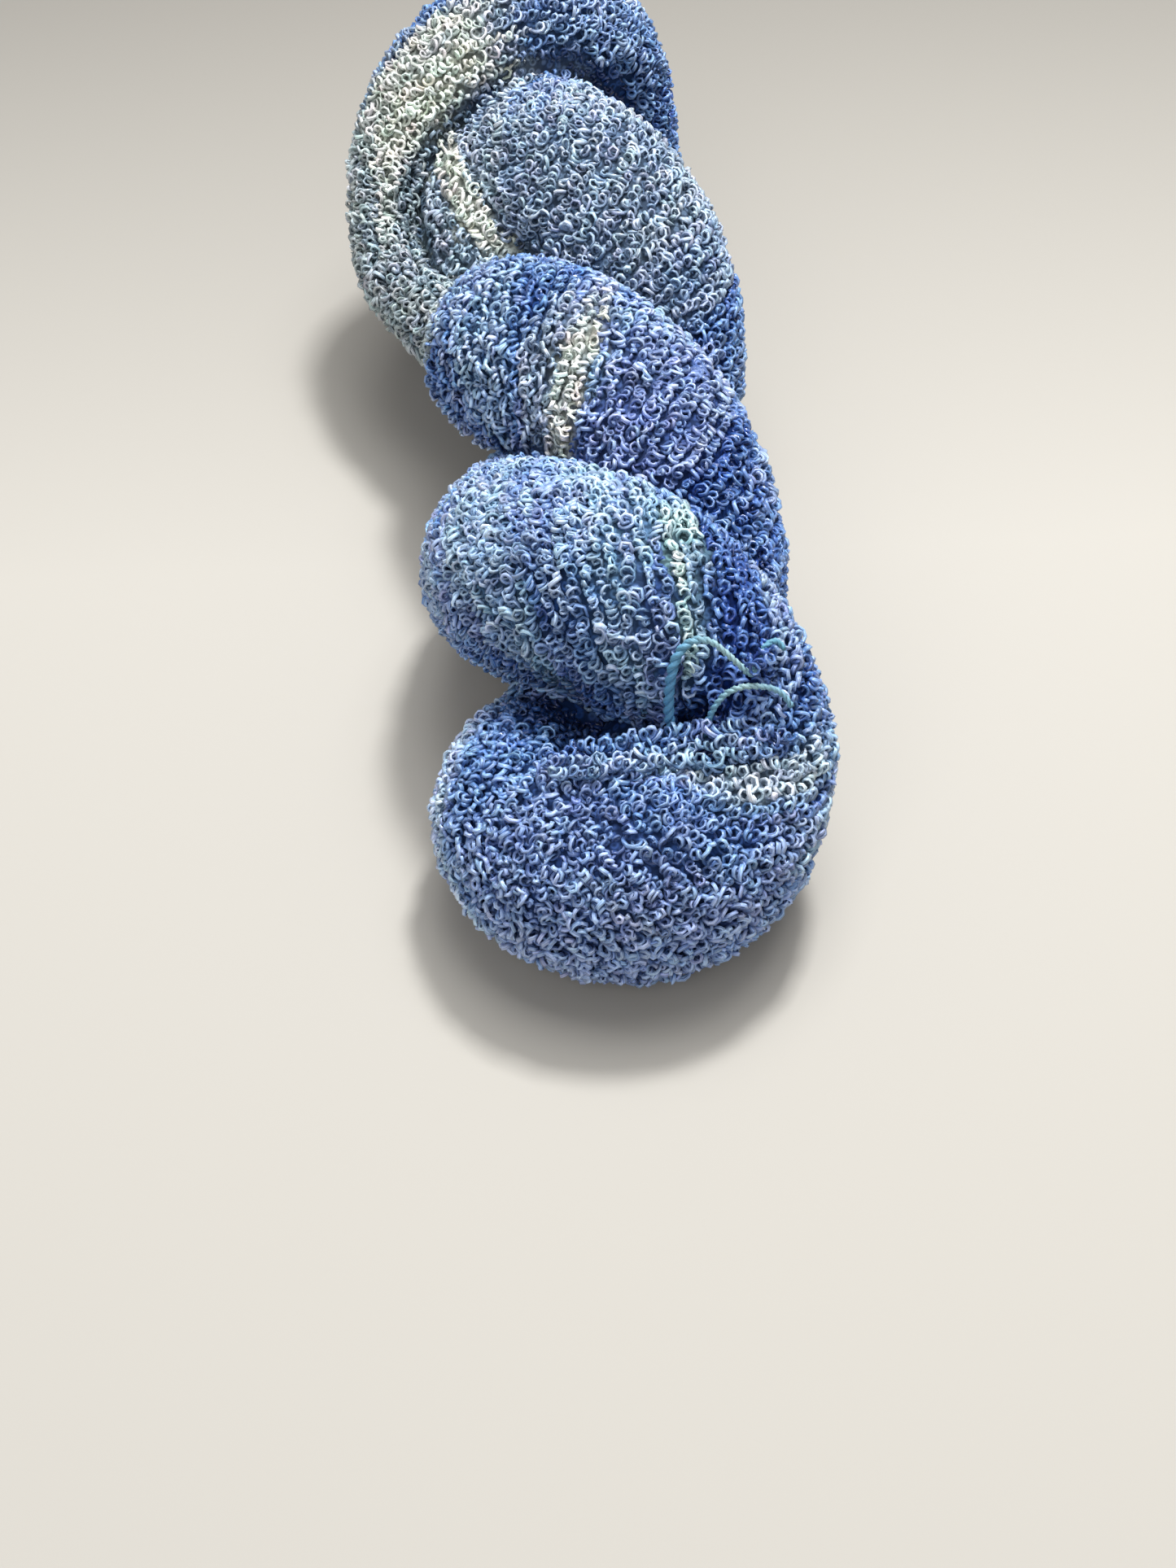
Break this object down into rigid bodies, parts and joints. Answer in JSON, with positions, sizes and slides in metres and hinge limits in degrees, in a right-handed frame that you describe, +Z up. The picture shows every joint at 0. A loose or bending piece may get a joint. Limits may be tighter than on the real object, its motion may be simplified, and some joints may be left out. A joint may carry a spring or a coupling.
{
  "type": "hank of boucle yarn",
  "caption": "Twisted hank of boucle yarn lying flat, a skein folded and wound round itself, with a tie thread showing in the crease of its round head.",
  "frame": {"origin": "middle of the box of the hank, on the surface that it lies on", "axes": "+Y from the round head to the far end with the small loop, +X across the hank, +Z up from the surface"},
  "size_m": [0.0747, 0.2501, 0.0658],
  "materials": {
    "yarn": "satin",
    "thread": "matte"
  },
  "bodies": {
    "root": {"hank": "yarn", "tie": "thread"}
  },
  "joints": []
}
